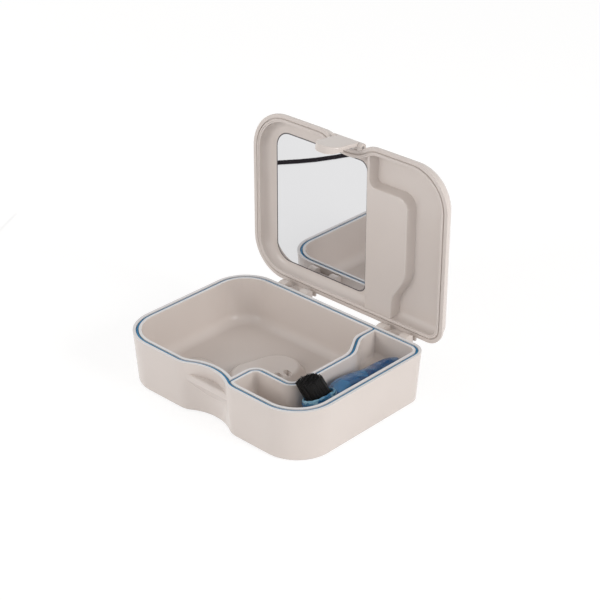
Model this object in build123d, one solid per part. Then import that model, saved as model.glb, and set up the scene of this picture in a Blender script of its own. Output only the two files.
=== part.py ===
from build123d import *
import math
import os

# Denture case with a sealed lid, a mirror, a latch and a brush, lid open.
# Millimetres. Origin: centre of the tray's underside. +X right along the latch
# side, +Y back to the hinges, +Z up. The lid is drawn shut, then opened.

# ---- outline, all of it measured from the centreline of the seal ----
SEAL_HALF_X = 54.0
SEAL_HALF_Y = 38.5
R_FRONT_LEFT = 17.5
R_FRONT_RIGHT = 17.5
R_BACK_LEFT = 15.5
R_BACK_RIGHT = 5.5
SCALLOP_X = 0.5
SCALLOP_DEPTH = 4.8
SCALLOP_R = 23.0
SCALLOP_BLEND = 10.0

# ---- tray ----
WALL_OUT = 1.95
WALL_IN = 1.9
RIM_Z = 24.6
OUTER_DRAFT = 4.0
INNER_DRAFT = 2.2
BOTTOM_EDGE_R = 1.2
FLOOR = 2.6
COVE_R = 5.0
BRUSH_DEPTH = 11.8
BRUSH_FLOOR = RIM_Z - BRUSH_DEPTH
BRUSH_COVE_R = 2.4

# ---- divider between the denture well and the brush well ----
DIV_HALF = 1.7
DIV_FRONT_X = 12.6
DIV_STEP_Y = -SEAL_HALF_Y + 16.9
DIV_SIDE_X = SEAL_HALF_X - 19.7
DIV_BACK_Y = SEAL_HALF_Y - 11.1
DIV_BEND_RUN = 11.9
DIV_BEND_Y = DIV_BACK_Y - DIV_BEND_RUN
DIV_JOG = 7.4
DIV_BACK_X = DIV_SIDE_X - DIV_JOG
DIV_RADII = (4.0, 4.5, 13.0, 11.0)
DIV_FOOT_R = 1.2

# ---- raised island on the denture floor ----
ISLAND_X = -5.0
ISLAND_Y = 2.0
ISLAND_LENGTH = 38.0
ISLAND_WIDTH = 26.0
ISLAND_TURN = 75.0
ISLAND_HEIGHT = 3.8
ISLAND_DRAFT = 40.0
ISLAND_EDGE_R = 2.2
FLUTES = 4
FLUTE_R = 1.5
FLUTE_LENGTH = 9.0
FLUTE_TILT = 25.0
FLUTE_PITCH = 4.6

# ---- seal ----
SEAL_HALF = 0.65
SEAL_FIT = 0.05
SEAL_TOP_Z = RIM_Z - 0.4
SEAL_DEPTH = 1.8
SEAL_GROOVE_Z = RIM_Z - SEAL_DEPTH

# ---- lid, drawn shut ----
LID_GAP = 0.15
FLANGE_Z = RIM_Z + LID_GAP
FLANGE_T = 1.5
FLANGE_OUT = 2.7
FLANGE_EDGE_R = 0.6
BEAD_HALF = 0.5
BEAD_TIP_HALF = 0.2
BEAD_H = 0.4
GROOVE_W = 0.5
GROOVE_D = 0.6
BODY_OUT = 1.05
LID_IN = 1.0
LID_DEPTH = 4.95
LID_FLOOR_Z = FLANGE_Z + LID_DEPTH
LID_WALL = 3.3
LID_TOP_Z = LID_FLOOR_Z + LID_WALL
LID_DOME_R = 5.6
LID_COVE_R = 3.3
LID_SIDE_FIT = 0.35
LID_OPEN = 90.0

# ---- hinges ----
HINGE_BEHIND = 4.8
HINGE_Y = SEAL_HALF_Y + HINGE_BEHIND
HINGE_BELOW = 4.7
HINGE_Z = RIM_Z - HINGE_BELOW
HINGE_X = (-26.2, 33.9)
LUG_R = 4.8
LUG_BACK = 2.8
KNUCKLE_R = 2.8
KNUCKLE_SIDE = 4.1
KNUCKLE_MID = 7.3
KNUCKLE_GAP = 0.8
HINGE_PIN_R = 0.8
RUN_FIT = 0.05
PRESS_FIT = 0.01
RELIEF = 0.3
WEB_DROP = 9.5

# ---- raised panel beside the mirror ----
PANEL_LEFT_X = DIV_FRONT_X - 0.5
PANEL_PAST_SEAL = 0.6
PANEL_DRAFT = 13.0
PANEL_FIT = 0.1
PANEL_EDGE_R = 0.6

# ---- mirror ----
MIRROR_X0 = -SEAL_HALF_X + 7.4
MIRROR_X1 = DIV_FRONT_X - 4.4
MIRROR_Y0 = -SEAL_HALF_Y + 8.2
MIRROR_Y1 = SEAL_HALF_Y - 4.6
MIRROR_R_OUT = 8.0
MIRROR_R_IN = 4.4
MIRROR_T = 1.2
TAPE_T = 0.3
TAPE_INSET = 4.0
MIRROR_GAP = 0.25

# ---- latch, drawn shut ----
LATCH_OUT = 0.3
LATCH_Y = -SEAL_HALF_Y - LATCH_OUT
LATCH_Z = FLANGE_Z + FLANGE_T / 2
LATCH_HALF_X = 6.4
BARREL_R = 1.8
EAR_T = 1.9
LATCH_SIDE_GAP = 0.2
LATCH_PIN_R = 0.6
TONGUE_T = 1.6
TONGUE_END_T = 3.3
TONGUE_LENGTH = 17.5
TONGUE_CORNER_R = 5.6
TONGUE_EDGE_R = 0.6
HOOK_REACH = 0.7
HOOK_H = 1.0
HOOK_GAP = 0.3
LATCH_TILT = 7.0

# ---- catch lip in the scallop ----
LIP_FIT = 0.15
LIP_FRONT_Y = LATCH_Y - BARREL_R + TONGUE_T + LIP_FIT
LIP_BELOW = 5.5
LIP_TOP_Z = RIM_Z - LIP_BELOW
LIP_FACE = 2.8
LIP_SLOPE = 56.0
LIP_DEPTH = 4.0
LIP_HALF_X = 15.0
LIP_EDGE_R = 0.8

# ---- brush, drawn along +Y with its bristles up and its head at the origin ----
BRUSH_X = SEAL_HALF_X - 10.9
BRUSH_Y = -SEAL_HALF_Y + 23.6
BRUSH_ROLL = -19.0
BRUSH_REST = 0.15
HANDLE_STATIONS = (
    (-9.5, 3.4, 2.4, 0.0),
    (-8.0, 9.0, 4.2, 0.0),
    (-4.0, 12.0, 5.2, 0.0),
    (2.0, 12.4, 5.6, 0.0),
    (7.0, 11.6, 6.0, 0.7),
    (12.0, 10.2, 6.6, 2.2),
    (18.0, 10.6, 7.2, 2.0),
    (25.0, 11.8, 7.8, 0.8),
    (32.0, 12.0, 7.6, 0.0),
    (39.0, 11.0, 7.2, 0.0),
    (45.0, 8.6, 6.0, 0.0),
    (48.5, 4.0, 3.4, 0.0),
)
SPINE_Z = -3.4
DECK_L = 16.0
DECK_W = 10.4
DECK_T = 1.4
TUFT_COLS = 17
TUFT_ROWS = 25
TUFT_W = 7.4
TUFT_L = 12.6
TUFT_H = 8.8
TUFT_TRIM = 0.32
TUFT_LEAN = 3.2
STRAND_W = 0.32
STRAND_TAPER = 0.8
SOCKET_DEPTH = 1.2
SOCKET_LEDGE = 0.7
SOCKET_FIT = 0.05
SPLAY = 0.06


def ring_face(d):
    """Face of the case outline, offset outward by d from the seal centreline."""
    hx = SEAL_HALF_X + d
    hy = SEAL_HALF_Y + d
    r_fl = R_FRONT_LEFT + d
    r_fr = R_FRONT_RIGHT + d
    r_bl = R_BACK_LEFT + d
    r_br = R_BACK_RIGHT + d
    r_sc = SCALLOP_R - d
    r_bd = SCALLOP_BLEND + d
    sc_y = -SEAL_HALF_Y + SCALLOP_DEPTH - SCALLOP_R
    bd_y = -SEAL_HALF_Y + SCALLOP_BLEND
    reach = SCALLOP_R + SCALLOP_BLEND
    bd_dx = math.sqrt(reach**2 - (bd_y - sc_y) ** 2)
    t_dx = bd_dx * r_sc / reach
    t_y = sc_y + (bd_y - sc_y) * r_sc / reach
    half = math.atan2(bd_dx, bd_y - sc_y) / 2
    m_dx = bd_dx - r_bd * math.sin(half)
    m_y = bd_y - r_bd * math.cos(half)
    cx = SCALLOP_X
    q = math.sqrt(0.5)
    edges = [
        Line((-hx + r_fl, -hy), (cx - bd_dx, -hy)),
        ThreePointArc((cx - bd_dx, -hy), (cx - m_dx, m_y), (cx - t_dx, t_y)),
        ThreePointArc((cx - t_dx, t_y), (cx, sc_y + r_sc), (cx + t_dx, t_y)),
        ThreePointArc((cx + t_dx, t_y), (cx + m_dx, m_y), (cx + bd_dx, -hy)),
        Line((cx + bd_dx, -hy), (hx - r_fr, -hy)),
        ThreePointArc(
            (hx - r_fr, -hy),
            (hx - r_fr + q * r_fr, -hy + r_fr - q * r_fr),
            (hx, -hy + r_fr),
        ),
        Line((hx, -hy + r_fr), (hx, hy - r_br)),
        ThreePointArc(
            (hx, hy - r_br),
            (hx - r_br + q * r_br, hy - r_br + q * r_br),
            (hx - r_br, hy),
        ),
        Line((hx - r_br, hy), (-hx + r_bl, hy)),
        ThreePointArc(
            (-hx + r_bl, hy),
            (-hx + r_bl - q * r_bl, hy - r_bl + q * r_bl),
            (-hx, hy - r_bl),
        ),
        Line((-hx, hy - r_bl), (-hx, -hy + r_fl)),
        ThreePointArc(
            (-hx, -hy + r_fl),
            (-hx + r_fl - q * r_fl, -hy + r_fl - q * r_fl),
            (-hx + r_fl, -hy),
        ),
    ]
    return make_face(Wire(edges))


def divider_face(d, right=True):
    """Region right of the divider line (or left of it), grown by d to the left."""
    far_x = 2 * SEAL_HALF_X
    far_y = 2 * SEAL_HALF_Y
    x0 = DIV_FRONT_X
    y1 = DIV_STEP_Y
    x1 = DIV_SIDE_X
    run = math.hypot(DIV_SIDE_X - DIV_BACK_X, DIV_BACK_Y - DIV_BEND_Y)
    nx = (DIV_BACK_Y - DIV_BEND_Y) / run
    ny = (DIV_SIDE_X - DIV_BACK_X) / run
    bend_y = DIV_BEND_Y - d * (1 - nx) / ny
    back_y = DIV_BACK_Y - d * (1 - nx) / ny
    pts = [
        (x0 - d, -far_y),
        (x0 - d, y1 + d),
        (x1 - d, y1 + d),
        (x1 - d, bend_y),
        (DIV_BACK_X - d, back_y),
        (DIV_BACK_X - d, far_y),
    ]
    side = far_x if right else -far_x
    face = make_face(Polyline(pts + [(side, far_y), (side, -far_y)], close=True))
    signs = (1, -1, 1, -1)
    for (px, py), radius, sign in zip(pts[1:5], DIV_RADII, signs):
        near = face.vertices().sort_by_distance((px, py, 0))[0]
        face = fillet(near, radius + sign * d)
    return face


def slab(face, z0, z1, taper=0.0):
    """Prism from z0 to z1 whose face at z0 is the given one."""
    return extrude(Pos(0, 0, z0) * face, z1 - z0, dir=(0, 0, 1), taper=taper)


def well(face_d, z_floor, cove):
    """Drafted, coved cavity inside the ring, open above the rim."""
    cut = extrude(Pos(0, 0, RIM_Z) * ring_face(-face_d), RIM_Z - z_floor, dir=(0, 0, -1), taper=INNER_DRAFT)
    foot = cut.faces().sort_by(Axis.Z)[0].edges()
    cut = fillet(foot, cove)
    return cut + slab(ring_face(-face_d), RIM_Z, RIM_Z + 1)


def side_prism(d, right, z_floor):
    """Drafted prism on one side of the divider, with a rounded foot."""
    face = divider_face(d, right)
    cut = extrude(Pos(0, 0, RIM_Z) * face, RIM_Z - z_floor, dir=(0, 0, -1), taper=INNER_DRAFT)
    cut = fillet(cut.faces().sort_by(Axis.Z)[0].edges(), DIV_FOOT_R)
    return cut + slab(face, RIM_Z, RIM_Z + 1)


def barrel(x0, x1, y, z, r):
    """Cylinder along X."""
    return Pos((x0 + x1) / 2, y, z) * Rot(0, 90, 0) * Cylinder(r, x1 - x0)


def yz_prism(pts, x0, x1):
    """Prism along X of a polygon given as (y, z) points."""
    face = make_face(Polyline([(x0, y, z) for y, z in pts], close=True))
    return extrude(face, x1 - x0, dir=(1, 0, 0))


def hinge_spans(x):
    """X limits of the two tray knuckles and the lid knuckle between them."""
    mid = KNUCKLE_MID / 2
    inner = mid + KNUCKLE_GAP
    outer = inner + KNUCKLE_SIDE
    return (x - outer, x - inner), (x - mid, x + mid), (x + inner, x + outer)


def make_island():
    """Low island that lifts the denture, scooped by flutes along its near shoulder."""
    foot = SlotOverall(ISLAND_LENGTH, ISLAND_WIDTH)
    body = extrude(foot, ISLAND_HEIGHT, taper=ISLAND_DRAFT)
    body = fillet(body.faces().sort_by(Axis.Z)[-1].edges(), ISLAND_EDGE_R)
    shoulder = -ISLAND_WIDTH / 2 + ISLAND_HEIGHT * math.tan(math.radians(ISLAND_DRAFT))
    for i in range(FLUTES):
        x = (i - (FLUTES - 1) / 2) * FLUTE_PITCH
        scoop = Rot(90 - FLUTE_TILT, 0, 0) * Cylinder(FLUTE_R, FLUTE_LENGTH)
        body -= Pos(x, shoulder, ISLAND_HEIGHT + FLUTE_R / 2) * scoop
    return Pos(ISLAND_X, ISLAND_Y, FLOOR - 0.01) * Rot(0, 0, ISLAND_TURN) * body


def make_tray():
    top = ring_face(WALL_OUT)
    body = extrude(Pos(0, 0, RIM_Z) * top, RIM_Z, dir=(0, 0, -1), taper=OUTER_DRAFT)
    body = fillet(body.faces().sort_by(Axis.Z)[0].edges(), BOTTOM_EDGE_R)

    back = LIP_FRONT_Y + LIP_DEPTH
    foot_z = LIP_TOP_Z - LIP_FACE
    lip = yz_prism(
        [
            (back, LIP_TOP_Z),
            (LIP_FRONT_Y, LIP_TOP_Z),
            (LIP_FRONT_Y, foot_z),
            (back, foot_z - LIP_DEPTH * math.tan(math.radians(LIP_SLOPE))),
        ],
        SCALLOP_X - LIP_HALF_X,
        SCALLOP_X + LIP_HALF_X,
    )
    front_edges = lip.edges().filter_by(Axis.X).sort_by(Axis.Y)[0:2]
    body += fillet(front_edges, LIP_EDGE_R)

    wall_y = SEAL_HALF_Y + WALL_OUT / 2
    for x in HINGE_X:
        left, mid, right = hinge_spans(x)
        for x0, x1 in (left, right):
            lug = barrel(x0, x1, HINGE_Y, HINGE_Z, LUG_R)
            lug -= Pos(x, HINGE_Y + LUG_BACK + LUG_R, HINGE_Z) * Box(WEB_DROP * 4, 2 * LUG_R, 4 * LUG_R)
            body += lug
            body += yz_prism(
                [
                    (wall_y, HINGE_Z),
                    (HINGE_Y, HINGE_Z),
                    (HINGE_Y + LUG_BACK, HINGE_Z - LUG_R / 2),
                    (wall_y, HINGE_Z - WEB_DROP),
                ],
                x0,
                x1,
            )
        body -= barrel(left[0] - 1, right[1] + 1, HINGE_Y, HINGE_Z, HINGE_PIN_R + PRESS_FIT)
        room = KNUCKLE_R + RELIEF
        body -= barrel(mid[0] - KNUCKLE_GAP, mid[1] + KNUCKLE_GAP, HINGE_Y, HINGE_Z, room)

    main = well(WALL_IN, FLOOR, COVE_R) & side_prism(DIV_HALF, False, FLOOR)
    brush = well(WALL_IN, BRUSH_FLOOR, BRUSH_COVE_R) & side_prism(-DIV_HALF, True, BRUSH_FLOOR)
    body -= main
    body -= brush
    body += make_island() & main
    body -= slab(seal_plan(SEAL_HALF), SEAL_GROOVE_Z, RIM_Z + 1)
    return body


def seal_plan(half):
    """Plan of the seal: a closed ring with a branch along the divider."""
    ring = ring_face(half) - ring_face(-half)
    line = divider_face(half) - divider_face(-half)
    return ring + (line & ring_face(0))


def make_seal():
    plan = seal_plan(SEAL_HALF - SEAL_FIT)
    return slab(plan, SEAL_GROOVE_Z, SEAL_TOP_Z)


def mirror_face(grow):
    """Mirror outline, grown by the given gap."""
    x0 = MIRROR_X0 - grow
    x1 = MIRROR_X1 + grow
    y0 = MIRROR_Y0 - grow
    y1 = MIRROR_Y1 + grow
    face = make_face(Polyline([(x0, y0), (x1, y0), (x1, y1), (x0, y1)], close=True))
    for x, radius in ((x0, MIRROR_R_OUT), (x1, MIRROR_R_IN)):
        for y in (y0, y1):
            near = face.vertices().sort_by_distance((x, y, 0))[0]
            face = fillet(near, radius + grow)
    return face


def lid_cavity(clear):
    """Hollow of the lid down to its floor, drawn shut, less a side clearance."""
    face = ring_face(-LID_IN - clear)
    cut = slab(face, FLANGE_Z, LID_FLOOR_Z)
    return fillet(cut.faces().sort_by(Axis.Z)[-1].edges(), LID_COVE_R)


def make_lid():
    flange_top = FLANGE_Z + FLANGE_T
    lid = slab(ring_face(FLANGE_OUT), FLANGE_Z, flange_top)
    lid = fillet(lid.faces().sort_by(Axis.Z)[-1].edges(), FLANGE_EDGE_R)
    dome = slab(ring_face(BODY_OUT), FLANGE_Z + 0.2, LID_TOP_Z)
    lid += fillet(dome.faces().sort_by(Axis.Z)[-1].edges(), LID_DOME_R)

    # hinge arms and knuckles
    arm_y = SEAL_HALF_Y + FLANGE_OUT + 0.1
    for x in HINGE_X:
        x0, x1 = hinge_spans(x)[1]
        arm = yz_prism(
            [
                (SEAL_HALF_Y, FLANGE_Z + 0.4),
                (arm_y, FLANGE_Z + 0.4),
                (arm_y, HINGE_Z),
                (HINGE_Y + KNUCKLE_R, HINGE_Z),
                (HINGE_Y + KNUCKLE_R, flange_top - 0.6),
                (HINGE_Y + KNUCKLE_R - 0.6, flange_top),
                (SEAL_HALF_Y, flange_top + 3.4),
            ],
            x0,
            x1,
        )
        lid += arm
        lid += barrel(x0, x1, HINGE_Y, HINGE_Z, KNUCKLE_R)
        lid -= barrel(x0 - 1, x1 + 1, HINGE_Y, HINGE_Z, HINGE_PIN_R + RUN_FIT)

    # ears for the latch, and room for its barrel and for the tray's wall
    ear_in = LATCH_HALF_X + LATCH_SIDE_GAP
    ear_out = ear_in + EAR_T
    ear_back = -SEAL_HALF_Y + SCALLOP_DEPTH
    for side in (-1, 1):
        x0, x1 = sorted((SCALLOP_X + side * ear_in, SCALLOP_X + side * ear_out))
        lid += barrel(x0, x1, LATCH_Y, LATCH_Z, BARREL_R)
        lid += yz_prism(
            [
                (LATCH_Y, LATCH_Z - BARREL_R),
                (ear_back, LATCH_Z - BARREL_R),
                (ear_back, LATCH_Z + BARREL_R),
                (LATCH_Y, LATCH_Z + BARREL_R),
            ],
            x0,
            x1,
        )
    room = BARREL_R + LATCH_SIDE_GAP
    lid -= Pos(SCALLOP_X, LATCH_Y, LATCH_Z) * Box(2 * ear_in, 2 * room, 4 * room)
    bore = LATCH_PIN_R + PRESS_FIT
    lid -= barrel(SCALLOP_X - ear_out - 1, SCALLOP_X + ear_out + 1, LATCH_Y, LATCH_Z, bore)
    front = Pos(SCALLOP_X, -SEAL_HALF_Y) * Rectangle(2 * SCALLOP_R, 2 * SCALLOP_DEPTH)
    lid -= slab(ring_face(WALL_OUT + LID_SIDE_FIT) & front, FLANGE_Z - BARREL_R, FLANGE_Z)

    # bead that presses on the seal, with a fine groove outside it
    root = 0.1
    taper = math.degrees(math.atan((BEAD_HALF - BEAD_TIP_HALF) / (BEAD_H + root)))
    outer = ring_face(BEAD_HALF)
    inner = ring_face(-BEAD_TIP_HALF)
    bead = extrude(Pos(0, 0, FLANGE_Z + root) * outer, BEAD_H + root, dir=(0, 0, -1), taper=taper)
    bead -= extrude(Pos(0, 0, FLANGE_Z - BEAD_H) * inner, BEAD_H + root, dir=(0, 0, 1), taper=taper)
    lid += bead
    groove = ring_face(BEAD_HALF + GROOVE_W) - ring_face(BEAD_HALF)
    lid -= slab(groove, FLANGE_Z, FLANGE_Z + GROOVE_D)

    lid -= lid_cavity(0) + slab(ring_face(-LID_IN), FLANGE_Z - 1, FLANGE_Z)
    depth = MIRROR_T + TAPE_T
    lid -= slab(mirror_face(MIRROR_GAP), LID_FLOOR_Z - 1, LID_FLOOR_Z + depth)
    return lid


def panel_plan():
    """Plan of the raised panel at its face, left of the divider line."""
    strip = Pos(PANEL_LEFT_X + SEAL_HALF_X / 2, 0) * Rectangle(SEAL_HALF_X, 4 * SEAL_HALF_Y)
    return strip - divider_face(-PANEL_PAST_SEAL)


def make_panel():
    tall = LID_FLOOR_Z - FLANGE_Z
    body = extrude(Pos(0, 0, FLANGE_Z) * panel_plan(), tall, dir=(0, 0, 1), taper=-PANEL_DRAFT)
    body = fillet(body.faces().sort_by(Axis.Z)[0].edges(), PANEL_EDGE_R)
    panel = body & lid_cavity(PANEL_FIT)
    return panel


def make_mirror():
    return slab(mirror_face(0), LID_FLOOR_Z, LID_FLOOR_Z + MIRROR_T)


def make_tape():
    z0 = LID_FLOOR_Z + MIRROR_T
    return slab(mirror_face(-TAPE_INSET), z0, z0 + TAPE_T)


def make_latch():
    """Tongue on a barrel, with a hook for the catch lip and a thick lower edge to pull."""
    x0 = SCALLOP_X - LATCH_HALF_X
    x1 = SCALLOP_X + LATCH_HALF_X
    face_y = LATCH_Y - BARREL_R
    inner_y = face_y + TONGUE_T
    tip_y = inner_y + HOOK_REACH
    end_z = LATCH_Z - TONGUE_LENGTH
    lip_foot = LIP_TOP_Z - LIP_FACE
    hook_z = lip_foot - HOOK_REACH * math.tan(math.radians(LIP_SLOPE)) - HOOK_GAP
    tongue = yz_prism(
        [
            (face_y, LATCH_Z),
            (face_y, end_z),
            (face_y + TONGUE_END_T, end_z),
            (tip_y, hook_z - HOOK_H),
            (tip_y, hook_z),
            (inner_y, hook_z),
            (inner_y, LATCH_Z),
        ],
        x0,
        x1,
    )
    tips = tongue.edges().filter_by(Axis.Y).group_by(Axis.Z)[0]
    tongue = fillet(tips, TONGUE_CORNER_R)
    rim = tongue.faces().sort_by(Axis.Y)[0].edges().filter_by(lambda e: e.center().Z < LATCH_Z - 0.1)
    tongue = fillet(rim, TONGUE_EDGE_R)
    latch = tongue + barrel(x0, x1, LATCH_Y, LATCH_Z, BARREL_R)
    return latch - barrel(x0 - 1, x1 + 1, LATCH_Y, LATCH_Z, LATCH_PIN_R + RUN_FIT)


def make_latch_pin():
    half = LATCH_HALF_X + LATCH_SIDE_GAP + EAR_T
    return barrel(SCALLOP_X - half, SCALLOP_X + half, LATCH_Y, LATCH_Z, LATCH_PIN_R)


def make_handle():
    """Brush handle with its head at the origin, bristle side up."""
    rings = []
    for y, w, t, arch in HANDLE_STATIONS:
        plane = Plane(origin=(0, y, SPINE_Z + arch), x_dir=(1, 0, 0), z_dir=(0, 1, 0))
        rings.append(plane * Ellipse(w / 2, t / 2))
    body = loft(rings)
    body += Pos(0, 0, -DECK_T) * extrude(SlotOverall(DECK_L, DECK_W, rotation=90), DECK_T)
    socket = socket_face(0)
    return body - Pos(0, 0, -SOCKET_DEPTH) * extrude(socket, SOCKET_DEPTH + 1)


def socket_face(clear):
    """Plan of the pocket that holds the tuft, less a fit clearance."""
    grow = 2 * SOCKET_LEDGE - 2 * clear
    return SlotOverall(TUFT_L + grow, TUFT_W + grow, rotation=90)


def make_bristles():
    """Tuft of square strands in a slice of their socket, trimmed level under the shut lid."""
    plate = extrude(socket_face(SOCKET_FIT), SOCKET_DEPTH - SOCKET_FIT)
    strands = []
    half_w = TUFT_W / 2 - STRAND_W
    half_l = TUFT_L / 2 - STRAND_W
    for i in range(TUFT_COLS):
        for j in range(TUFT_ROWS):
            u = (2 * i / (TUFT_COLS - 1) - 1) * half_w
            v = (2 * j / (TUFT_ROWS - 1) - 1) * half_l
            over = max(abs(v) - (half_l - half_w), 0.0)
            if math.hypot(u, over) > half_w + 0.01:
                continue
            wave = 0.30 * math.sin(1.9 * i + 0.7 * j) + 0.25 * math.cos(2.3 * j - 0.9 * i)
            top_z = SOCKET_DEPTH + TUFT_H + wave - TUFT_TRIM * u
            tip = STRAND_W * STRAND_TAPER
            low = Pos(u, v, SOCKET_DEPTH * 0.5) * Rectangle(STRAND_W, STRAND_W)
            high = Pos(u * (1 + SPLAY), v * (1 + SPLAY) - TUFT_LEAN, top_z) * Rectangle(tip, tip)
            strands.append(Solid.make_loft([low.wire(), high.wire()], True))
    return plate.fuse(*strands)


def place_brush(shape):
    """Lay the brush on the floor of its well, rolled so that the tuft leans left."""
    a = math.radians(BRUSH_ROLL)
    halves = [(w / 2 * math.sin(a), t / 2 * math.cos(a), arch) for y, w, t, arch in HANDLE_STATIONS]
    deepest = max(math.hypot(across, down) - arch * math.cos(a) for across, down, arch in halves)
    z = BRUSH_FLOOR + BRUSH_REST + deepest - SPINE_Z * math.cos(a)
    return Pos(BRUSH_X, BRUSH_Y, z) * Rot(0, BRUSH_ROLL, 0) * shape


def opened(shape):
    """Turn what is drawn shut about the hinge line by the open angle."""
    axis = Axis((0, HINGE_Y, HINGE_Z), (1, 0, 0))
    return shape.rotate(axis, -LID_OPEN)


def tilted(shape):
    """Swing the latch out from shut by its resting tilt."""
    axis = Axis((0, LATCH_Y, LATCH_Z), (1, 0, 0))
    return shape.rotate(axis, -LATCH_TILT)


def hinge_pin(x):
    spans = hinge_spans(x)
    return barrel(spans[0][0], spans[2][1], HINGE_Y, HINGE_Z, HINGE_PIN_R)


def build():
    return {
        "base_tray": make_tray(),
        "rim_seal": make_seal(),
        "hinge_pin_left": hinge_pin(HINGE_X[0]),
        "hinge_pin_right": hinge_pin(HINGE_X[1]),
        "lid_shell": opened(make_lid()),
        "lid_panel": opened(make_panel()),
        "mirror": opened(make_mirror()),
        "mirror_tape": opened(make_tape()),
        "front_latch": opened(tilted(make_latch())),
        "latch_pin": opened(make_latch_pin()),
        "brush_handle": place_brush(make_handle()),
        "brush_bristles": place_brush(Pos(0, 0, -SOCKET_DEPTH) * make_bristles()),
    }


os.makedirs("parts", exist_ok=True)
for name, shape in build().items():
    export_step(shape, f"parts/{name}.step")
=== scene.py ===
import bpy
import bmesh
import math
from mathutils import Matrix, Vector


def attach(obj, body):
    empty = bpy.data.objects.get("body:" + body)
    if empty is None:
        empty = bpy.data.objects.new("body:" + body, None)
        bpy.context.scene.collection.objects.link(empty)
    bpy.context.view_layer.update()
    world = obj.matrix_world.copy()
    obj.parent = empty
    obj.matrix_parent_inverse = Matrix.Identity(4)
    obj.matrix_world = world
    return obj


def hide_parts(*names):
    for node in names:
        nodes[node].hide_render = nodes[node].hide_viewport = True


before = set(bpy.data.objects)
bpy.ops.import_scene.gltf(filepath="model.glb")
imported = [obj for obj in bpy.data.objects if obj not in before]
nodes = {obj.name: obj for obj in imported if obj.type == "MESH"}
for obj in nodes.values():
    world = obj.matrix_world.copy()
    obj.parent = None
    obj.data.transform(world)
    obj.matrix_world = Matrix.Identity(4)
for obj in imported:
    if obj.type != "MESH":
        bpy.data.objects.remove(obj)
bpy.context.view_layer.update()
MM = 0.001

# ---------------------------------------------------------------- sizes, millimetres
SEAL_HALF_X, SEAL_HALF_Y = 54.0, 38.5
CORNERS = {"front_left": 17.5, "front_right": 17.5, "back_left": 15.5, "back_right": 5.5}
SCALLOP_X, SCALLOP_DEPTH, SCALLOP_R, SCALLOP_BLEND = 0.5, 4.8, 23.0, 10.0
WALL_OUT, RIM_Z, FLOOR = 1.95, 24.6, 2.6
DIV_FRONT_X, DIV_STEP_Y, DIV_SIDE_X = 12.6, -21.6, 34.3
DIV_BEND_Y, DIV_BACK_X, DIV_BACK_Y = 15.5, 26.9, 27.4
DIV_RADII = (4.0, 4.5, 13.0, 11.0)
SEAL_HALF, SEAL_TOP_Z, SEAL_GROOVE_Z = 0.6, 24.2, 22.8
HINGE_X, HINGE_Y, HINGE_Z = (-26.2, 33.9), 43.3, 19.9
LID_EDGE_Z = 24.75
LID_FLOOR_Z = 29.7
LEAF_HALF_X, LEAF_Y, LEAF_RISE, LEAF_ROUND = 8.0, (40.9, 43.6), (0.2, 1.5), 0.4
LOBE_PLACE, LOBE_RADII, LOBE_HEIGHT, LOBE_FULLNESS, LOBE_SINK = (-30.5, -14.5), (9.5, 8.0), 3.3, 2.6, 0.05
MIRROR_BOX = {"x": (-46.6, 8.2), "y": (-30.3, 33.9), "radii": (8.0, 4.4), "gap": 0.25}
BRUSH_X, BRUSH_Y, BRUSH_ROLL = 43.1, -14.9, math.radians(-19.0)
BRUSH_ROOT_Z = 20.255
TUFT_COLS, TUFT_ROWS, TUFT_W, TUFT_L, TUFT_H, TUFT_LEAN = 17, 25, 7.4, 12.6, 8.8, 3.2
STRAND_W, SPLAY, TUFT_TRIM = 0.32, 0.06, 0.32
BACKING_RIM, BACKING_LOW, BACKING_HIGH = 0.6, -1.1, -0.12
COLLAR_STEPS = 26
COLLAR_SECTION = ((0.62, -0.5), (0.75, 0.75), (1.25, 1.05), (1.75, 0.45), (1.95, -0.9))
EDGE_INSIDE, EDGE_PROUD, EDGE_THIN, EDGE_DEEP, EDGE_CLEAR = 0.30, 0.015, 0.004, 0.30, 0.03


# ---------------------------------------------------------------- materials
def new_material(name):
    mat = bpy.data.materials.new(name)
    mat.use_nodes = True
    tree = mat.node_tree
    shader = tree.nodes["Principled BSDF"]
    return mat, tree, shader


def add(tree, kind, **values):
    node = tree.nodes.new(kind)
    for key, value in values.items():
        if key in node.inputs:
            node.inputs[key].default_value = value
        else:
            setattr(node, key, value)
    return node


def noise(tree, scale, detail=2.0):
    coord = add(tree, "ShaderNodeTexCoord")
    tex = add(tree, "ShaderNodeTexNoise", Scale=scale, Detail=detail)
    tree.links.new(coord.outputs["Object"], tex.inputs["Vector"])
    return tex


def ramp(tree, source, low, high, pos=(0.35, 0.65)):
    node = add(tree, "ShaderNodeValToRGB")
    node.color_ramp.elements[0].position = pos[0]
    node.color_ramp.elements[0].color = low
    node.color_ramp.elements[1].position = pos[1]
    node.color_ramp.elements[1].color = high
    tree.links.new(source, node.inputs["Fac"])
    return node.outputs["Color"]


def to_range(tree, source, low, high):
    node = add(tree, "ShaderNodeMapRange")
    node.inputs["From Min"].default_value = 0.3
    node.inputs["From Max"].default_value = 0.7
    node.inputs["To Min"].default_value = low
    node.inputs["To Max"].default_value = high
    tree.links.new(source, node.inputs["Value"])
    return node.outputs["Result"]


def bump(tree, source, strength, distance):
    node = add(tree, "ShaderNodeBump", Strength=strength, Distance=distance)
    tree.links.new(source, node.inputs["Height"])
    return node.outputs["Normal"]


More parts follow.
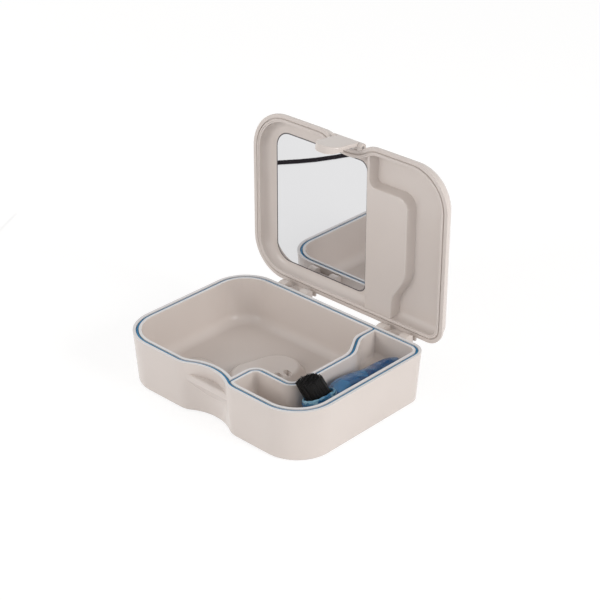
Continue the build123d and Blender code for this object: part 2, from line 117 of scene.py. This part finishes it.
def plastic_material():
    """Satin moulded plastic, with a painted highlight: the top face of the rim is painted lighter and
    cooler.
    """
    mat, tree, shader = new_material("case_plastic")
    broad = noise(tree, 22.0, 2.0)
    body = ramp(tree, broad.outputs["Fac"], (0.655, 0.594, 0.556, 1), (0.680, 0.619, 0.581, 1))
    # painted highlight: a lighter, cooler colour for the top face of the rim
    rim = ramp(tree, broad.outputs["Fac"], (0.745, 0.735, 0.735, 1), (0.775, 0.765, 0.765, 1))
    coord = add(tree, "ShaderNodeTexCoord")
    split = add(tree, "ShaderNodeSeparateXYZ")
    tree.links.new(coord.outputs["Object"], split.inputs["Vector"])
    # mask of the painted rim highlight: the rim's top face, in front of the hinges
    rim_highlight_fade = add(tree, "ShaderNodeMapRange")
    rim_highlight_fade.inputs["From Min"].default_value = (RIM_Z - 0.15) * MM
    rim_highlight_fade.inputs["From Max"].default_value = (RIM_Z - 0.02) * MM
    tree.links.new(split.outputs["Z"], rim_highlight_fade.inputs["Value"])
    below = add(tree, "ShaderNodeMath", operation="LESS_THAN")
    below.inputs[1].default_value = (RIM_Z + 0.02) * MM
    tree.links.new(split.outputs["Z"], below.inputs[0])
    front = add(tree, "ShaderNodeMath", operation="LESS_THAN")
    front.inputs[1].default_value = (SEAL_HALF_Y + WALL_OUT + 0.2) * MM
    tree.links.new(split.outputs["Y"], front.inputs[0])
    both = add(tree, "ShaderNodeMath", operation="MULTIPLY")
    tree.links.new(below.outputs[0], both.inputs[0])
    tree.links.new(front.outputs[0], both.inputs[1])
    fac = add(tree, "ShaderNodeMath", operation="MULTIPLY")
    tree.links.new(rim_highlight_fade.outputs["Result"], fac.inputs[0])
    tree.links.new(both.outputs[0], fac.inputs[1])
    mix = add(tree, "ShaderNodeMix", data_type="RGBA")
    tree.links.new(fac.outputs[0], mix.inputs["Factor"])
    tree.links.new(body, mix.inputs["A"])
    tree.links.new(rim, mix.inputs["B"])
    tree.links.new(mix.outputs["Result"], shader.inputs["Base Color"])
    fine = noise(tree, 260.0, 3.0)
    tree.links.new(to_range(tree, fine.outputs["Fac"], 0.19, 0.225), shader.inputs["Roughness"])
    grain = noise(tree, 420.0, 2.0)
    tree.links.new(bump(tree, grain.outputs["Fac"], 0.012, 0.0001), shader.inputs["Normal"])
    shader.inputs["IOR"].default_value = 1.49
    return mat


def seal_material():
    mat, tree, shader = new_material("seal_rubber")
    broad = noise(tree, 60.0, 2.0)
    tree.links.new(
        ramp(tree, broad.outputs["Fac"], (0.004, 0.190, 0.410, 1), (0.008, 0.230, 0.470, 1)),
        shader.inputs["Base Color"],
    )
    shader.inputs["Roughness"].default_value = 0.42
    return mat


def steel_material():
    mat, tree, shader = new_material("pin_steel")
    fine = noise(tree, 1200.0, 2.0)
    tree.links.new(
        ramp(tree, fine.outputs["Fac"], (0.42, 0.42, 0.43, 1), (0.55, 0.55, 0.56, 1)),
        shader.inputs["Base Color"],
    )
    shader.inputs["Metallic"].default_value = 1.0
    shader.inputs["Roughness"].default_value = 0.3
    return mat


def mirror_material():
    mat, tree, shader = new_material("mirror_sheet")
    broad = noise(tree, 9.0, 1.0)
    tree.links.new(
        ramp(tree, broad.outputs["Fac"], (0.735, 0.737, 0.748, 1), (0.755, 0.757, 0.768, 1)),
        shader.inputs["Base Color"],
    )
    shader.inputs["Metallic"].default_value = 1.0
    shader.inputs["Roughness"].default_value = 0.012
    return mat


def tape_material():
    mat, tree, shader = new_material("tape")
    fine = noise(tree, 1500.0, 3.0)
    tree.links.new(
        ramp(tree, fine.outputs["Fac"], (0.66, 0.66, 0.65, 1), (0.74, 0.74, 0.73, 1)),
        shader.inputs["Base Color"],
    )
    shader.inputs["Roughness"].default_value = 0.85
    return mat


def clear_blue_material(name, dark, light, rough, facet):
    """Glossy blue plastic with moulded facets, which lets part of the light through; each facet is painted a
    random shade between the dark and the light blue, as painted glints and shade.
    """
    mat, tree, shader = new_material(name)
    coord = add(tree, "ShaderNodeTexCoord")
    cells = add(tree, "ShaderNodeTexVoronoi", Scale=facet)
    tree.links.new(coord.outputs["Object"], cells.inputs["Vector"])
    painted_facet_glint = add(tree, "ShaderNodeSeparateColor")
    tree.links.new(cells.outputs["Color"], painted_facet_glint.inputs["Color"])
    # painted glints and shade: each facet gets a random colour between the dark and the light blue
    tree.links.new(ramp(tree, painted_facet_glint.outputs["Red"], dark, light, (0.15, 0.95)), shader.inputs["Base Color"])
    tree.links.new(bump(tree, cells.outputs["Distance"], 0.55, 0.0012), shader.inputs["Normal"])
    fine = noise(tree, 700.0, 2.0)
    tree.links.new(to_range(tree, fine.outputs["Fac"], rough * 0.7, rough * 1.3), shader.inputs["Roughness"])
    shader.inputs["Transmission Weight"].default_value = 0.55
    shader.inputs["IOR"].default_value = 1.49
    return mat


def bristle_material():
    mat, tree, shader = new_material("bristle")
    fine = noise(tree, 1800.0, 2.0)
    tree.links.new(
        ramp(tree, fine.outputs["Fac"], (0.003, 0.003, 0.003, 1), (0.014, 0.013, 0.013, 1)),
        shader.inputs["Base Color"],
    )
    shader.inputs["Roughness"].default_value = 0.34
    return mat


# dark colour for the mirror's own edge, and painted shade for the gap round the mirror
def edge_material():
    mat, tree, shader = new_material("mirror_edge")
    fine = noise(tree, 900.0, 2.0)
    tree.links.new(
        ramp(tree, fine.outputs["Fac"], (0.075, 0.070, 0.075, 1), (0.13, 0.12, 0.125, 1)),
        shader.inputs["Base Color"],
    )
    shader.inputs["Roughness"].default_value = 0.5
    return mat


PLASTIC = plastic_material()
SEAL = seal_material()
STEEL = steel_material()
MIRROR = mirror_material()
TAPE = tape_material()
# the light ends of these two ramps are the painted facet glints
CLEAR = clear_blue_material("brush_clear", (0.002, 0.110, 0.34, 1), (0.045, 0.30, 0.62, 1), 0.08, 170.0)
CRYSTAL = clear_blue_material("brush_socket", (0.02, 0.28, 0.60, 1), (0.38, 0.74, 0.92, 1), 0.04, 420.0)
BRISTLE = bristle_material()
EDGE_AND_GAP_SHADE = edge_material()


def dress(name, mat):
    obj = nodes[name]
    if not obj.material_slots:
        obj.data.materials.append(mat)
    for slot in obj.material_slots:
        slot.material = mat


for name in ("base_tray", "lid_shell", "lid_panel", "front_latch"):
    dress(name, PLASTIC)
for name in ("hinge_pin_left", "hinge_pin_right", "latch_pin"):
    dress(name, STEEL)
dress("mirror", MIRROR)
dress("mirror_tape", TAPE)
dress("brush_handle", CLEAR)


# ---------------------------------------------------------------- outlines
def arc(cx, cy, radius, start, end, steps):
    """Points of an arc, angles in degrees."""
    points = []
    for i in range(steps + 1):
        angle = math.radians(start + (end - start) * i / steps)
        points.append((cx + radius * math.cos(angle), cy + radius * math.sin(angle)))
    return points


def ring_points(d):
    """Closed outline of the case at distance d outside the seal's centreline."""
    hx, hy = SEAL_HALF_X, SEAL_HALF_Y
    fl, fr = CORNERS["front_left"], CORNERS["front_right"]
    bl, br = CORNERS["back_left"], CORNERS["back_right"]
    centre_y = -hy + SCALLOP_DEPTH - SCALLOP_R
    blend_y = -hy + SCALLOP_BLEND
    blend_x = math.sqrt((SCALLOP_R + SCALLOP_BLEND) ** 2 - (blend_y - centre_y) ** 2)
    turn = math.degrees(math.atan2(blend_x, blend_y - centre_y))
    points = arc(-hx + fl, -hy + fl, fl + d, 180, 270, 20)
    points += arc(SCALLOP_X - blend_x, blend_y, SCALLOP_BLEND + d, 270, 270 + turn, 10)
    points += arc(SCALLOP_X, centre_y, SCALLOP_R - d, 90 + turn, 90 - turn, 22)[1:]
    points += arc(SCALLOP_X + blend_x, blend_y, SCALLOP_BLEND + d, 270 - turn, 270, 10)[1:]
    points += arc(hx - fr, -hy + fr, fr + d, 270, 360, 20)
    points += arc(hx - br, hy - br, br + d, 0, 90, 14)
    points += arc(-hx + bl, hy - bl, bl + d, 90, 180, 18)
    return points


def rounded(points, radii, steps=8):
    """Open line through the points with its inner corners rounded."""
    line = [Vector(points[0])]
    for i, radius in enumerate(radii, start=1):
        here = Vector(points[i])
        back = (Vector(points[i - 1]) - here).normalized()
        ahead = (Vector(points[i + 1]) - here).normalized()
        half = back.angle(ahead) / 2
        centre = here + (back + ahead).normalized() * (radius / math.sin(half))
        start = here + back * (radius / math.tan(half)) - centre
        end = here + ahead * (radius / math.tan(half)) - centre
        for k in range(steps + 1):
            t = k / steps
            angle = start.angle(end)
            a, b = math.sin((1 - t) * angle), math.sin(t * angle)
            line.append(centre + (start * a + end * b) / math.sin(angle))
    line.append(Vector(points[-1]))
    return [(p.x, p.y) for p in line]


def divider_points(d):
    """The divider's line at distance d on its left, from the front wall to the back wall."""
    run = math.hypot(DIV_SIDE_X - DIV_BACK_X, DIV_BACK_Y - DIV_BEND_Y)
    slope = (1 - (DIV_BACK_Y - DIV_BEND_Y) / run) / ((DIV_SIDE_X - DIV_BACK_X) / run)
    front_y = -SEAL_HALF_Y + SCALLOP_DEPTH - 1.0
    points = [
        (DIV_FRONT_X - d, front_y - 1.6),
        (DIV_FRONT_X - d, DIV_STEP_Y + d),
        (DIV_SIDE_X - d, DIV_STEP_Y + d),
        (DIV_SIDE_X - d, DIV_BEND_Y - d * slope),
        (DIV_BACK_X - d, DIV_BACK_Y - d * slope),
        (DIV_BACK_X - d, SEAL_HALF_Y),
    ]
    return rounded(points, [r + s * d for r, s in zip(DIV_RADII, (1, -1, 1, -1))])


def new_object(name, mesh, mat, body=None, smooth=True):
    obj = bpy.data.objects.new(name, mesh)
    bpy.context.scene.collection.objects.link(obj)
    mesh.materials.append(mat)
    if smooth:
        for polygon in mesh.polygons:
            polygon.use_smooth = True
    if body:
        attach(obj, body)
    return obj


def strip_mesh(name, lines, closed):
    """Skin between lines of equally many points (x, y, z in millimetres)."""
    mesh = bpy.data.meshes.new(name)
    count = len(lines[0])
    vertices = [(x * MM, y * MM, z * MM) for line in lines for x, y, z in line]
    faces = []
    for row in range(len(lines) - 1):
        for i in range(count if closed else count - 1):
            j = (i + 1) % count
            faces.append((row * count + i, row * count + j, (row + 1) * count + j, (row + 1) * count + i))
    mesh.from_pydata(vertices, [], faces)
    return mesh


def join_meshes(name, meshes):
    work = bmesh.new()
    for mesh in meshes:
        work.from_mesh(mesh)
        bpy.data.meshes.remove(mesh)
    bmesh.ops.recalc_face_normals(work, faces=work.faces)
    joined = bpy.data.meshes.new(name)
    work.to_mesh(joined)
    work.free()
    return joined


# ---------------------------------------------------------------- seal
SEAL_SECTION = (
    (SEAL_HALF, SEAL_GROOVE_Z),
    (SEAL_HALF, SEAL_TOP_Z - 0.30),
    (SEAL_HALF * 0.72, SEAL_TOP_Z - 0.07),
    (SEAL_HALF * 0.30, SEAL_TOP_Z),
    (-SEAL_HALF * 0.30, SEAL_TOP_Z),
    (-SEAL_HALF * 0.72, SEAL_TOP_Z - 0.07),
    (-SEAL_HALF, SEAL_TOP_Z - 0.30),
    (-SEAL_HALF, SEAL_GROOVE_Z),
)
ring_lines = [[(x, y, z) for x, y in ring_points(d)] for d, z in SEAL_SECTION]
branch_lines = [[(x, y, z) for x, y in divider_points(d)] for d, z in SEAL_SECTION]
seal_mesh = join_meshes(
    "seal_ring",
    [strip_mesh("ring", ring_lines + ring_lines[:1], True), strip_mesh("branch", branch_lines, False)],
)
seal = new_object("seal_ring", seal_mesh, SEAL, "tray")
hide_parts("rim_seal")


# ---------------------------------------------------------------- mirror edge
def rectangle_points(grow):
    """Mirror outline grown outward, with its four round corners."""
    (x0, x1), (y0, y1), (r_out, r_in) = MIRROR_BOX["x"], MIRROR_BOX["y"], MIRROR_BOX["radii"]
    x0, x1, y0, y1 = x0 - grow, x1 + grow, y0 - grow, y1 + grow
    r_out, r_in = r_out + grow, r_in + grow
    points = arc(x0 + r_out, y0 + r_out, r_out, 180, 270, 10)
    points += arc(x1 - r_in, y0 + r_in, r_in, 270, 360, 10)
    points += arc(x1 - r_in, y1 - r_in, r_in, 0, 90, 10)
    points += arc(x0 + r_out, y1 - r_out, r_out, 90, 180, 10)
    return points


def lid_point(x, y, z):
    """Where a point drawn on the shut lid lies on the open one."""
    return (x, HINGE_Y + z - HINGE_Z, HINGE_Z + HINGE_Y - y)


# the dark band covers the mirror's own dark edge and fills the gap round it as painted shade
edge_outer = MIRROR_BOX["gap"] - EDGE_CLEAR
EDGE_SECTION = (
    (-EDGE_INSIDE, -EDGE_PROUD),
    (-EDGE_INSIDE, -EDGE_THIN),
    (edge_outer, EDGE_DEEP),
    (edge_outer, -EDGE_PROUD),
)
edge_lines = []
for grow, z in EDGE_SECTION:
    edge_lines.append([lid_point(x, y, LID_FLOOR_Z + z) for x, y in rectangle_points(grow)])
edge_mesh = join_meshes("mirror_edge", [strip_mesh("edge", edge_lines + edge_lines[:1], True)])
new_object("mirror_edge", edge_mesh, EDGE_AND_GAP_SHADE, "lid", smooth=False)


# ---------------------------------------------------------------- small forms of the case
def rounded_box(name, low, high, radius, place):
    """Box with rounded edges, its corners passed through place."""
    work = bmesh.new()
    bmesh.ops.create_cube(work, size=1.0)
    for vert in work.verts:
        vert.co = Vector([a + (b - a) * (c + 0.5) for a, b, c in zip(low, high, vert.co)])
    bmesh.ops.bevel(work, geom=work.edges[:], offset=radius, segments=3, profile=0.5, affect="EDGES")
    for vert in work.verts:
        vert.co = Vector(place(*vert.co)) * MM
    bmesh.ops.recalc_face_normals(work, faces=work.faces)
    mesh = bpy.data.meshes.new(name)
    work.to_mesh(mesh)
    work.free()
    return mesh


def dome(name, centre, radii, height, fullness):
    """Low moulded dome whose foot is centred on the given point."""
    work = bmesh.new()
    steps, rows = 40, 12
    top = work.verts.new((0, 0, height))
    last = None
    for row in range(1, rows + 1):
        t = math.sin(math.pi / 2 * row / rows)
        ring = []
        for k in range(steps):
            angle = 2 * math.pi * k / steps
            lift = height * max(0.0, 1 - t ** fullness) ** (1 / fullness)
            x, y = radii[0] * t * math.cos(angle), radii[1] * t * math.sin(angle)
            ring.append(work.verts.new((x, y, lift)))
        for k in range(steps):
            n = (k + 1) % steps
            if last:
                work.faces.new((last[k], last[n], ring[n], ring[k]))
            else:
                work.faces.new((top, ring[n], ring[k]))
        last = ring
    work.faces.new(last)
    for vert in work.verts:
        vert.co = (vert.co + Vector(centre)) * MM
    bmesh.ops.recalc_face_normals(work, faces=work.faces)
    mesh = bpy.data.meshes.new(name)
    work.to_mesh(mesh)
    work.free()
    return mesh


for side, x in zip(("left", "right"), HINGE_X):
    low = (x - LEAF_HALF_X, LEAF_Y[0], LID_EDGE_Z + LEAF_RISE[0])
    high = (x + LEAF_HALF_X, LEAF_Y[1], LID_EDGE_Z + LEAF_RISE[1])
    leaf = rounded_box("hinge_leaf", low, high, LEAF_ROUND, lid_point)
    new_object("hinge_leaf_" + side, leaf, PLASTIC, "lid")
lobe = dome("well_lobe", (*LOBE_PLACE, FLOOR - LOBE_SINK), LOBE_RADII, LOBE_HEIGHT, LOBE_FULLNESS)
new_object("well_lobe", lobe, PLASTIC, "tray")


# ---------------------------------------------------------------- brush
BRUSH = (
    Matrix.Translation(Vector((BRUSH_X, BRUSH_Y, BRUSH_ROOT_Z)) * MM)
    @ Matrix.Rotation(BRUSH_ROLL, 4, "Y")
    @ Matrix.Scale(MM, 4)
)


def strand(work, foot, tip, width, sides, twist, lean):
    """One tapered bristle with a slightly bent middle."""
    foot, tip = Vector(foot), Vector(tip)
    middle = (foot + tip) / 2 + Vector(lean)
    rings = []
    for centre, scale in ((foot, 1.0), (middle, 0.95), (tip, 0.72)):
        ring = []
        for k in range(sides):
            angle = twist + 2 * math.pi * k / sides
            offset = Vector((math.cos(angle), math.sin(angle), 0)) * width * scale / 2
            ring.append(work.verts.new(BRUSH @ (centre + offset)))
        rings.append(ring)
    for low, high in zip(rings, rings[1:]):
        for k in range(sides):
            work.faces.new((low[k], low[(k + 1) % sides], high[(k + 1) % sides], high[k]))
    work.faces.new(rings[-1])


def make_tuft():
    work = bmesh.new()
    half_w = TUFT_W / 2 - STRAND_W
    half_l = TUFT_L / 2 - STRAND_W
    for i in range(TUFT_COLS):
        for j in range(TUFT_ROWS):
            u = (2 * i / (TUFT_COLS - 1) - 1) * half_w
            v = (2 * j / (TUFT_ROWS - 1) - 1) * half_l
            over = max(abs(v) - (half_l - half_w), 0.0)
            if math.hypot(u, over) > half_w + 0.01:
                continue
            wave = 0.30 * math.sin(1.9 * i + 0.7 * j) + 0.25 * math.cos(2.3 * j - 0.9 * i)
            sway = 0.10 * math.sin(5.1 * i + 3.3 * j)
            foot = (u, v, -0.6)
            tip = (u * (1 + SPLAY) + sway, v * (1 + SPLAY) - TUFT_LEAN, TUFT_H + wave - TUFT_TRIM * u)
            lean = (0.12 * math.sin(2.7 * i), 0.14 * math.cos(1.7 * j), 0)
            strand(work, foot, tip, STRAND_W * 1.45, 5, 0.4 * i + 0.3 * j, lean)
    # the slice of backing that the strands stand in
    low, high = [], []
    outline = arc(0, TUFT_L / 2 - TUFT_W / 2, TUFT_W / 2 + BACKING_RIM, 0, 180, 14)
    outline += arc(0, -TUFT_L / 2 + TUFT_W / 2, TUFT_W / 2 + BACKING_RIM, 180, 360, 14)
    for x, y in outline:
        low.append(work.verts.new(BRUSH @ Vector((x, y, BACKING_LOW))))
        high.append(work.verts.new(BRUSH @ Vector((x, y, BACKING_HIGH))))
    for k in range(len(outline)):
        n = (k + 1) % len(outline)
        work.faces.new((low[k], low[n], high[n], high[k]))
    work.faces.new(high)
    work.faces.new(low[::-1])
    bmesh.ops.recalc_face_normals(work, faces=work.faces)
    mesh = bpy.data.meshes.new("brush_tuft")
    work.to_mesh(mesh)
    work.free()
    return mesh


tuft = new_object("brush_tuft", make_tuft(), BRISTLE, "tray", smooth=False)
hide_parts("brush_bristles")


def make_collar():
    """Cut-glass rim round the root of the tuft: facets of alternating height."""
    work = bmesh.new()
    steps = COLLAR_STEPS
    rows = []
    for grow, rise in COLLAR_SECTION:
        ring = []
        for k in range(steps):
            angle = 2 * math.pi * (k + 0.5 * (len(rows) % 2)) / steps
            half = (TUFT_L - TUFT_W) / 2
            radius = TUFT_W / 2 + grow
            x = radius * math.cos(angle)
            y = radius * math.sin(angle) + half * max(-1.0, min(1.0, 1.6 * math.sin(angle)))
            lift = rise + (0.16 if k % 2 else -0.10) * (rise > 0)
            ring.append(work.verts.new(BRUSH @ Vector((x, y, lift))))
        rows.append(ring)
    for a, b in zip(rows, rows[1:]):
        for k in range(steps):
            n = (k + 1) % steps
            work.faces.new((a[k], a[n], b[k]))
            work.faces.new((a[n], b[n], b[k]))
    bmesh.ops.recalc_face_normals(work, faces=work.faces)
    mesh = bpy.data.meshes.new("brush_collar")
    work.to_mesh(mesh)
    work.free()
    return mesh


new_object("brush_collar", make_collar(), CRYSTAL, "tray", smooth=False)


# ---------------------------------------------------------------- stage
def background_rays(tree, mirrored):
    """1 for rays that show the background: the camera's and, if mirrored, those of gloss and glass."""
    path = add(tree, "ShaderNodeLightPath")
    value = path.outputs["Is Camera Ray"]
    for ray in ("Is Glossy Ray", "Is Transmission Ray") if mirrored else ():
        larger = add(tree, "ShaderNodeMath", operation="MAXIMUM")
        tree.links.new(value, larger.inputs[0])
        tree.links.new(path.outputs[ray], larger.inputs[1])
        value = larger.outputs[0]
    return value


def stage_material(name, seen, lit, mirrored):
    """Sheet that looks white with a faint shadow, and throws light back as the colour lit."""
    mat = bpy.data.materials.new(name)
    mat.use_nodes = True
    tree = mat.node_tree
    tree.nodes.clear()
    out = add(tree, "ShaderNodeOutputMaterial")
    mix = add(tree, "ShaderNodeMixShader")
    diffuse = add(tree, "ShaderNodeBsdfDiffuse", Color=lit)
    shade = add(tree, "ShaderNodeBsdfDiffuse", Color=SHADE)
    glow = add(tree, "ShaderNodeEmission", Color=seen, Strength=GLOW)
    both = add(tree, "ShaderNodeAddShader")
    tree.links.new(shade.outputs["BSDF"], both.inputs[0])
    tree.links.new(glow.outputs["Emission"], both.inputs[1])
    tree.links.new(background_rays(tree, mirrored), mix.inputs["Fac"])
    tree.links.new(diffuse.outputs["BSDF"], mix.inputs[1])
    tree.links.new(both.outputs["Shader"], mix.inputs[2])
    tree.links.new(mix.outputs["Shader"], out.inputs["Surface"])
    return mat


def sheet(name, corners, z, mat):
    mesh = bpy.data.meshes.new(name)
    mesh.from_pydata([(x, y, z) for x, y in corners], [], [tuple(range(len(corners)))])
    obj = bpy.data.objects.new(name, mesh)
    bpy.context.scene.collection.objects.link(obj)
    obj.data.materials.append(mat)


WHITE = (1.0, 1.0, 1.0, 1.0)
SHADE = (0.36, 0.36, 0.36, 1.0)
FLOOR_LIT, TABLE_EDGE_SHADE = (0.93, 0.93, 0.94, 1), (0.035, 0.03, 0.035, 1)
FLOOR_HALF, FLOOR_DROP, TABLE_EDGE_RISE = 6, -0.0002, 0.0001
TABLE_EDGE_WIDTH = (0.0043, 0.0046)
LIGHT_SIZE = (0.5, 0.5)
GLOW = 0.74
SKY_LOW, SKY_HIGH = 0.96, 0.38
RIGHT_POWER, FRONT_POWER, LEFT_POWER = 6.2, 3.6, 1.6
sheet(
    "floor",
    [(sx * FLOOR_HALF, sy * FLOOR_HALF) for sx, sy in ((-1, -1), (1, -1), (1, 1), (-1, 1))],
    FLOOR_DROP,
    stage_material("floor", WHITE, FLOOR_LIT, True),
)
# dark strip for the edge of the table sheet, with the shade along it painted dark, outside the view on the
# left, seen only in the mirror
edge = [
    (-0.2300, 0.0300),
    (-0.1719, -0.0771),
    (-0.1647, -0.0863),
    (-0.1594, -0.0943),
    (-0.1538, -0.1054),
    (-0.1475, -0.1205),
    (-0.1380, -0.1500),
]
far = [(x + TABLE_EDGE_WIDTH[0], y + TABLE_EDGE_WIDTH[1]) for x, y in edge]
sheet(
    "table_edge",
    edge + far[::-1],
    TABLE_EDGE_RISE,
    stage_material("table_edge", WHITE, TABLE_EDGE_SHADE, False),
)

world = bpy.data.worlds.new("studio")
bpy.context.scene.world = world
world.use_nodes = True
tree = world.node_tree
tree.nodes.clear()
out = add(tree, "ShaderNodeOutputWorld")
mix = add(tree, "ShaderNodeMixShader")
coord = add(tree, "ShaderNodeTexCoord")
split = add(tree, "ShaderNodeSeparateXYZ")
tree.links.new(coord.outputs["Generated"], split.inputs["Vector"])
height = add(tree, "ShaderNodeMapRange")
height.inputs["From Min"].default_value = 0.05
height.inputs["From Max"].default_value = 0.85
height.inputs["To Min"].default_value = SKY_LOW
height.inputs["To Max"].default_value = SKY_HIGH
tree.links.new(split.outputs["Z"], height.inputs["Value"])
soft = add(tree, "ShaderNodeBackground", Color=(1.0, 0.985, 0.975, 1.0))
tree.links.new(height.outputs["Result"], soft.inputs["Strength"])
back = add(tree, "ShaderNodeBackground", Color=WHITE, Strength=1.0)
tree.links.new(background_rays(tree, True), mix.inputs["Fac"])
tree.links.new(soft.outputs["Background"], mix.inputs[1])
tree.links.new(back.outputs["Background"], mix.inputs[2])
tree.links.new(mix.outputs["Shader"], out.inputs["Surface"])


def area_light(name, place, aim, size, power, color=(1, 1, 1)):
    data = bpy.data.lights.new(name, "AREA")
    data.shape = "RECTANGLE"
    data.size, data.size_y = size
    data.energy = power
    data.color = color
    obj = bpy.data.objects.new(name, data)
    bpy.context.scene.collection.objects.link(obj)
    obj.location = place
    obj.rotation_mode = "QUATERNION"
    obj.rotation_quaternion = (Vector(aim) - Vector(place)).to_track_quat("-Z", "Y")


area_light("right", (1.1, 0.15, 0.55), (0, 0, 0.03), LIGHT_SIZE, RIGHT_POWER, (1.0, 0.985, 0.97))
area_light("front", (-0.35, -1.1, 0.55), (0, 0, 0.03), LIGHT_SIZE, FRONT_POWER, (1.0, 0.985, 0.97))
area_light("left", (-1.2, -0.1, 0.45), (0, 0, 0.05), LIGHT_SIZE, LEFT_POWER, (1.0, 0.99, 0.98))

# ---------------------------------------------------------------- camera
TARGET = Vector((-14.58, 34.50, 24.85)) * MM
AZIMUTH, ELEVATION, DISTANCE = math.radians(43.45), math.radians(28.35), 0.730
SENSOR_MM, IMAGE_PX, FOCAL_PX = 36.0, 600, 1609.6
toward = Vector(
    (
        math.sin(AZIMUTH) * math.cos(ELEVATION),
        -math.cos(AZIMUTH) * math.cos(ELEVATION),
        math.sin(ELEVATION),
    )
)
cam_data = bpy.data.cameras.new("camera")
cam_data.sensor_width = SENSOR_MM
cam_data.lens = FOCAL_PX / IMAGE_PX * SENSOR_MM
cam_data.clip_start, cam_data.clip_end = 0.01, 50.0
camera = bpy.data.objects.new("camera", cam_data)
bpy.context.scene.collection.objects.link(camera)
camera.location = TARGET + toward * DISTANCE
camera.rotation_mode = "QUATERNION"
camera.rotation_quaternion = (-toward).to_track_quat("-Z", "Y")
bpy.context.scene.camera = camera
bpy.context.scene.view_settings.view_transform = "Standard"
bpy.context.scene.view_settings.look = "None"
